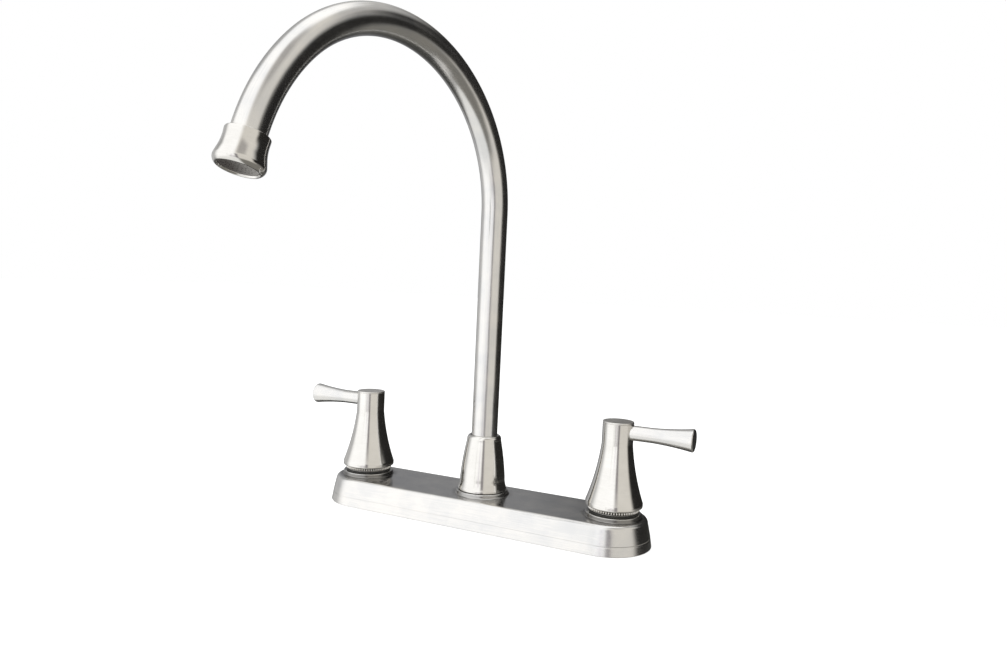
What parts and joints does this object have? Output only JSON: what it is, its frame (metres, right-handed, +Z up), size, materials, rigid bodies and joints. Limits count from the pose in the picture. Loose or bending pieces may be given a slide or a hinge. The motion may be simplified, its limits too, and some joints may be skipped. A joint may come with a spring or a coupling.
{
  "type": "two handle kitchen faucet",
  "caption": "Deck mounted kitchen faucet with a turning gooseneck spout and quarter turn lever handles on a long cover plate.",
  "frame": {"origin": "centre of the deck plate's footprint, on the sink deck under the plate", "axes": "+Z up along the spout's riser, -Y towards the front of the sink, left handle at -X, right handle at +X"},
  "size_m": [0.3074, 0.2552, 0.3946],
  "materials": {
    "satin_nickel": "brushed",
    "polished_nickel": "polished",
    "brass": "machined",
    "copper_tube": "drawn",
    "stainless_steel": "plain",
    "black_rubber": "matt",
    "black_plastic": "matt",
    "grey_plastic": "matt",
    "ceramic": "lapped"
  },
  "bodies": {
    "base": {"collar_ring": "black_rubber", "deck_gasket": "black_rubber", "deck_plate": "satin_nickel", "left_base_ring": "black_rubber", "left_bead_ring": "polished_nickel", "left_bonnet_nut": "brass", "left_cartridge_body": "brass", "left_crossover_tube": "copper_tube", "left_fixed_disc": "ceramic", "left_mount_nut": "black_plastic", "left_mount_washer": "stainless_steel", "left_seat_seal": "black_rubber", "left_valve_body": "brass", "putty_plate": "black_plastic", "right_base_ring": "black_rubber", "right_bead_ring": "polished_nickel", "right_bonnet_nut": "brass", "right_cartridge_body": "brass", "right_crossover_tube": "copper_tube", "right_fixed_disc": "ceramic", "right_mount_nut": "black_plastic", "right_mount_washer": "stainless_steel", "right_seat_seal": "black_rubber", "right_valve_body": "brass", "spout_bearing": "grey_plastic", "spout_collar": "polished_nickel", "spout_hub": "brass"},
    "spout": {"spout_end_fitting": "brass", "spout_seals": "black_rubber", "spout_snap_ring": "stainless_steel", "spout_tube": "satin_nickel", "aerator_housing": "polished_nickel", "aerator_washer": "black_rubber", "aerator_insert": "grey_plastic"},
    "left_handle": {"left_moving_disc": "ceramic", "left_stem": "brass", "left_stem_seal": "black_rubber", "left_handle_hub": "polished_nickel", "left_handle_lever": "satin_nickel", "left_handle_cap": "polished_nickel", "left_handle_screw": "stainless_steel"},
    "right_handle": {"right_moving_disc": "ceramic", "right_stem": "brass", "right_stem_seal": "black_rubber", "right_handle_hub": "polished_nickel", "right_handle_lever": "satin_nickel", "right_handle_cap": "polished_nickel", "right_handle_screw": "stainless_steel"}
  },
  "joints": [
    {"name": "spout_swivel", "type": "hinge", "parent": "base", "child": "spout", "pos_m": [0, 0, 0.05], "axis": [0, 0, 1], "continuous": true},
    {"name": "left_handle_turn", "type": "hinge", "parent": "base", "child": "left_handle", "pos_m": [-0.1016, 0, 0.05], "axis": [0, 0, 1], "range_deg": [0, 90]},
    {"name": "right_handle_turn", "type": "hinge", "parent": "base", "child": "right_handle", "pos_m": [0.1016, 0, 0.05], "axis": [0, 0, 1], "range_deg": [-90, 0]}
  ]
}
